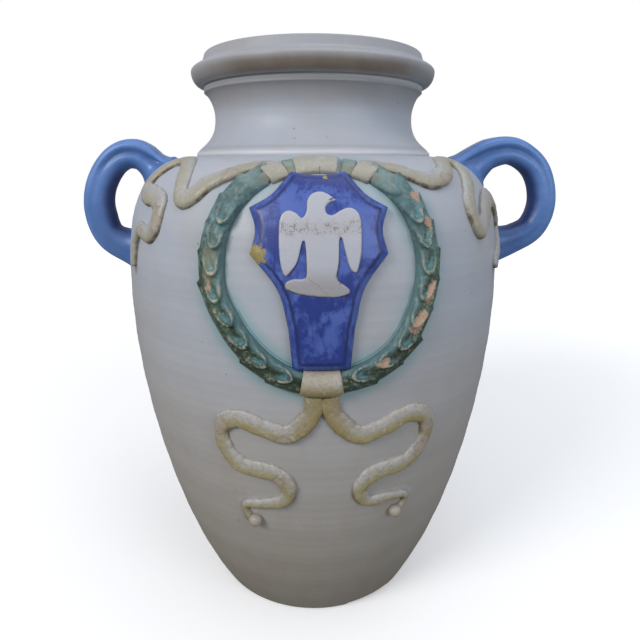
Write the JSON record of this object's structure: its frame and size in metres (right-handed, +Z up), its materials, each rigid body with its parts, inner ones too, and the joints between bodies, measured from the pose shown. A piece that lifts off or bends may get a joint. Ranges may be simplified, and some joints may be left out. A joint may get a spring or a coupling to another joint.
{
  "type": "urn",
  "caption": "Large glazed earthenware urn with a waisted neck, half-round rim, loop handles on the shoulder, and a relief wreath, shield, eagle and ribbons on the front.",
  "frame": {"origin": "centre of the flat underside, which rests on the floor", "axes": "+Z up through the mouth; the ornament on the front faces -Y; the handles stand at -X and +X"},
  "size_m": [0.6749, 0.5334, 0.76],
  "materials": {
    "cream_glaze": "satin, streaked pale grey-cream glaze",
    "blue_glaze": "satin mid-blue glaze",
    "cobalt_glaze": "satin mottled cobalt glaze",
    "leaf_glaze": "satin mottled green and turquoise glaze",
    "white_glaze": "satin white glaze",
    "straw_glaze": "satin straw-coloured glaze"
  },
  "bodies": {
    "root": {"base_slab": "cream_glaze", "body_lower": "cream_glaze", "body_belly": "cream_glaze", "shoulder": "cream_glaze", "neck": "cream_glaze", "rim": "cream_glaze", "handle_left": "blue_glaze", "handle_right": "blue_glaze", "wreath_left": "leaf_glaze", "wreath_right": "leaf_glaze", "wreath_top_left": "leaf_glaze", "wreath_top_right": "leaf_glaze", "band_top": "straw_glaze", "band_bottom": "straw_glaze", "band_upper_left": "straw_glaze", "band_upper_right": "straw_glaze", "shield": "cobalt_glaze", "eagle": "white_glaze", "ribbon_upper_left": "straw_glaze", "ribbon_upper_right": "straw_glaze", "ribbon_side_left": "straw_glaze", "ribbon_side_right": "straw_glaze", "ribbon_tail_left": "straw_glaze", "ribbon_tail_right": "straw_glaze", "ribbon_lower_left": "straw_glaze", "ribbon_lower_right": "straw_glaze", "ribbon_ball_left": "straw_glaze", "ribbon_ball_right": "straw_glaze"}
  },
  "joints": []
}
